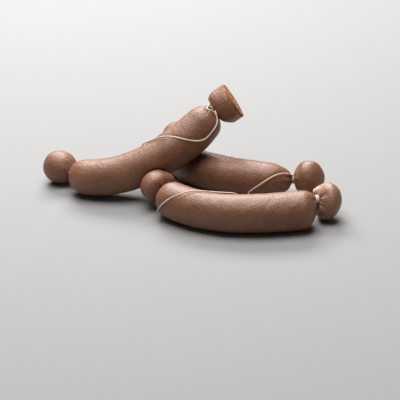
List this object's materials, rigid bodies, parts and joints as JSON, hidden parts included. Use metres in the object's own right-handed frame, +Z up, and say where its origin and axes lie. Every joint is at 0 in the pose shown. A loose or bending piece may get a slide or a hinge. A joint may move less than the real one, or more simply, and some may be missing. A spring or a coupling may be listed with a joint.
{
  "type": "string of sausage links",
  "caption": "String of plump sausage links lying across each other, waists tied into round ends with twine, an end cut open to show the meat.",
  "frame": {"origin": "middle of the footprint, on the surface the links lie on", "axes": "+X along the string towards the cut end and the front link's right end, +Y away from the front link, +Z up"},
  "size_m": [0.3162, 0.2452, 0.1084],
  "materials": {
    "casing": "moist brown casing, softly glossy",
    "meat": "coarse cooked meat, matte",
    "twine": "undyed cotton twine, matte"
  },
  "bodies": {
    "root": {"link_a": "casing", "link_b": "casing", "link_c": "casing", "stub_filling": "meat", "twine_ab": "twine", "twine_bc": "twine", "tie_a_left": "twine", "tie_c_right": "twine"}
  },
  "joints": []
}
